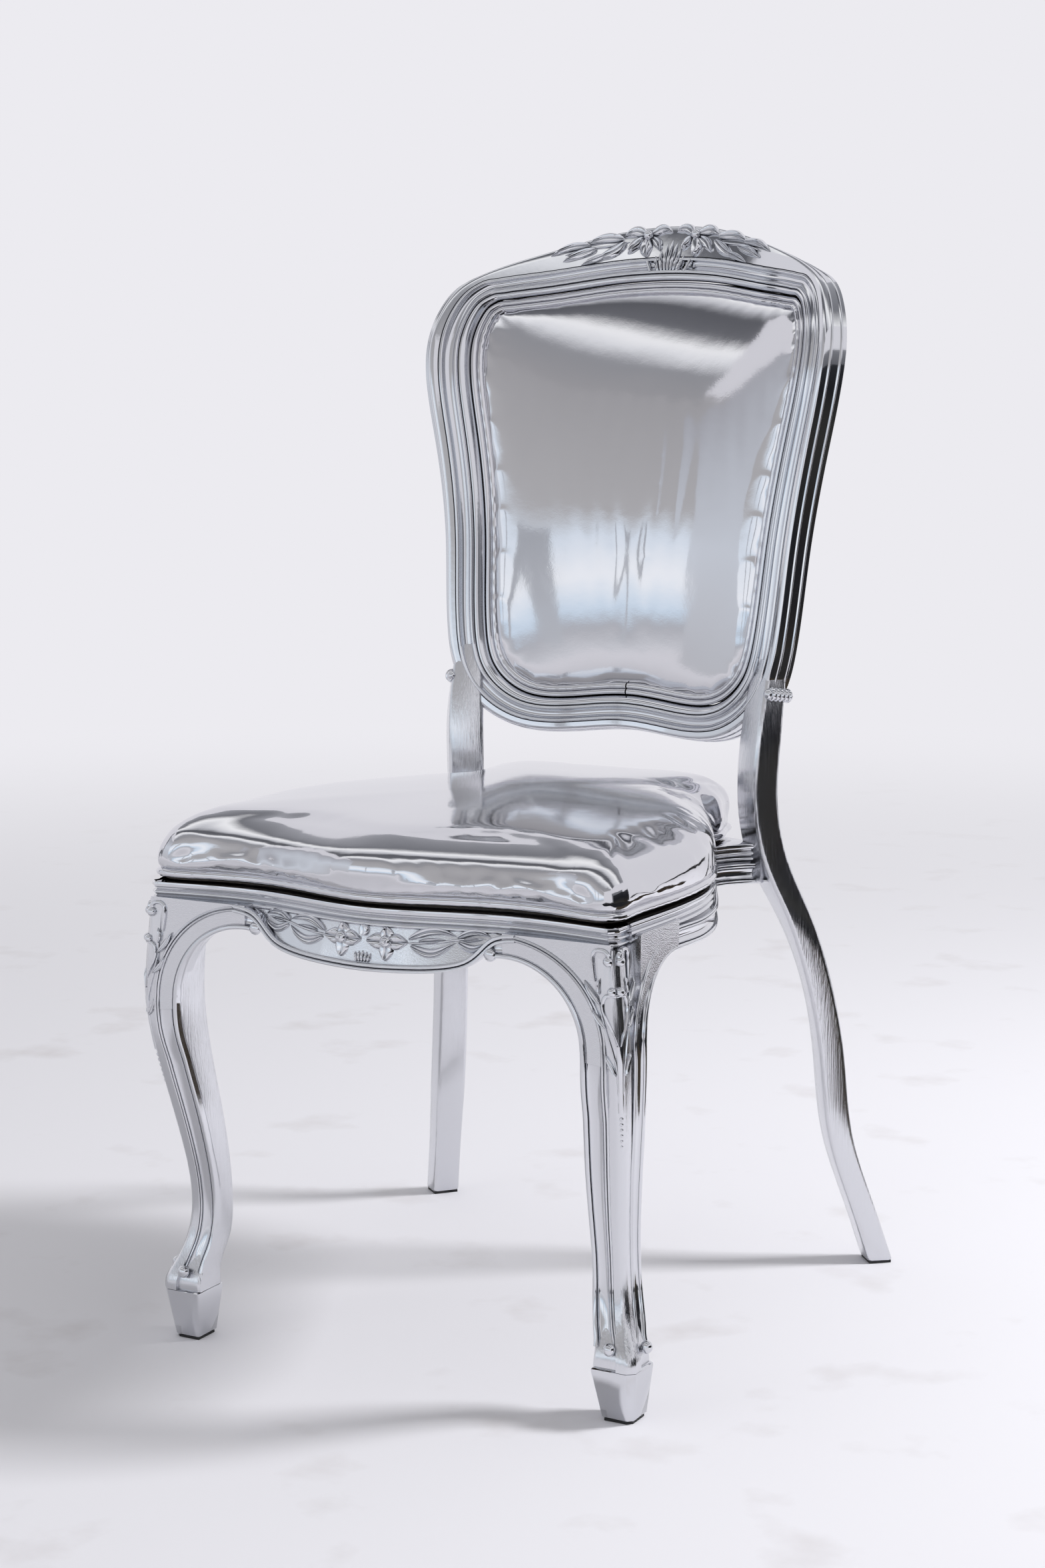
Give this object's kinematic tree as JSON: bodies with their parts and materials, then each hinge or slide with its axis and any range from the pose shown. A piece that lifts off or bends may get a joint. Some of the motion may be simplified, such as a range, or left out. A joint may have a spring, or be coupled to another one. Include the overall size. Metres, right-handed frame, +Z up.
{
  "type": "dining chair",
  "caption": "Plated plastic dining chair: cabriole front legs, bowed apron, splayed rear legs and a curved framed back, with crowned silver vinyl seat and back pads.",
  "frame": {"origin": "on the floor, under the middle of the chair's bounding box", "axes": "+Z up, -Y the way the sitter faces, +X to the right of someone who looks at the chair's front"},
  "size_m": [0.4906, 0.5817, 0.9307],
  "materials": {
    "plated_plastic": "bright plating on plastic",
    "silver_vinyl": "mirror foil vinyl",
    "foam": "polyurethane foam",
    "board": "plywood and hardboard",
    "zinc_steel": "zinc plated",
    "glide_plastic": "matte"
  },
  "bodies": {
    "root": {"seat_frame": "plated_plastic", "back_frame": "plated_plastic", "seat_cover": "silver_vinyl", "seat_piping": "silver_vinyl", "back_cover": "silver_vinyl", "back_welt": "silver_vinyl", "rear_cover": "silver_vinyl", "seat_foam": "foam", "back_foam": "foam", "seat_board": "board", "back_board": "board", "rear_board": "board", "seat_tee_nuts": "zinc_steel", "seat_screws": "zinc_steel", "back_screws": "zinc_steel", "frame_bolts": "zinc_steel", "bolt_washers": "zinc_steel", "leg_inserts": "zinc_steel", "glide_nails": "zinc_steel", "front_left_glide": "glide_plastic", "front_right_glide": "glide_plastic", "rear_left_glide": "glide_plastic", "rear_right_glide": "glide_plastic"}
  },
  "joints": []
}
